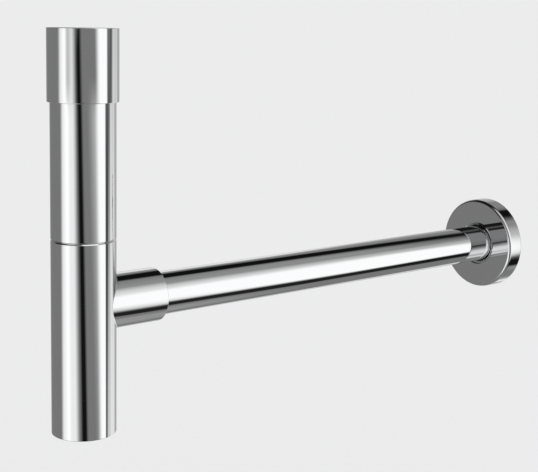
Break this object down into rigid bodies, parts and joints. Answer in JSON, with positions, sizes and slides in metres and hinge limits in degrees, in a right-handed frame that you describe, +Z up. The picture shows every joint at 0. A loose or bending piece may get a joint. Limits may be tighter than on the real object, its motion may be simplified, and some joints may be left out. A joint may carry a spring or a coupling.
{
  "type": "basin trap",
  "caption": "Tubular chrome bottle trap for a wash basin: a skirted union nut, a telescopic body with a screwed joint and a straight outlet pipe with a round wall flange.",
  "frame": {"origin": "centre of the sealing face at the inner end of the nut's thread, where the basin waste lands on the gasket", "axes": "+Z up along the nut's thread towards the basin, +X along the outlet pipe towards the wall"},
  "size_m": [0.473, 0.08, 0.287],
  "materials": {
    "chrome": "polished",
    "raw_brass": "satin",
    "seal_rubber": "matte",
    "slip_nylon": "satin"
  },
  "bodies": {
    "inlet": {"dip_tube": "raw_brass", "inlet_gasket": "seal_rubber", "inlet_slip_ring": "slip_nylon"},
    "nut": {"inlet_nut": "chrome"},
    "gland": {"gland_seal": "seal_rubber", "gland_slip_ring": "slip_nylon"},
    "upper": {"upper_tube": "chrome", "gland_nut": "raw_brass"},
    "joint_ring": {"joint_gasket": "seal_rubber"},
    "bottle": {"bottle": "chrome", "outlet_oring_outer": "seal_rubber", "outlet_oring_inner": "seal_rubber"},
    "pipe": {"outlet_pipe": "chrome"},
    "flange": {"wall_flange": "chrome", "flange_oring": "seal_rubber"}
  },
  "joints": [
    {"name": "nut_spin", "type": "hinge", "parent": "inlet", "child": "nut", "pos_m": [0, 0, 0], "axis": [0, 0, 1], "continuous": true},
    {"name": "height_slide", "type": "slide", "parent": "inlet", "child": "gland", "axis": [0, 0, 1], "range_m": [-0.005, 0.01]},
    {"name": "body_turn", "type": "hinge", "parent": "gland", "child": "upper", "pos_m": [0, 0, -0.04], "axis": [0, 0, 1], "continuous": true},
    {"name": "bottle_drop", "type": "slide", "parent": "upper", "child": "joint_ring", "axis": [0, 0, -1], "range_m": [0, 0.006]},
    {"name": "bottle_turn", "type": "hinge", "parent": "joint_ring", "child": "bottle", "pos_m": [0, 0, -0.1435], "axis": [0, 0, -1], "range_deg": [0, 1080]},
    {"name": "pipe_slide", "type": "slide", "parent": "bottle", "child": "pipe", "axis": [1, 0, 0], "range_m": [0, 0.012]},
    {"name": "flange_slide", "type": "slide", "parent": "pipe", "child": "flange", "axis": [1, 0, 0], "range_m": [-0.345, 0.014]}
  ],
  "couplings": [
    {"joint": "bottle_drop", "follows": "bottle_turn", "m_per_rad": 0.00031831}
  ]
}
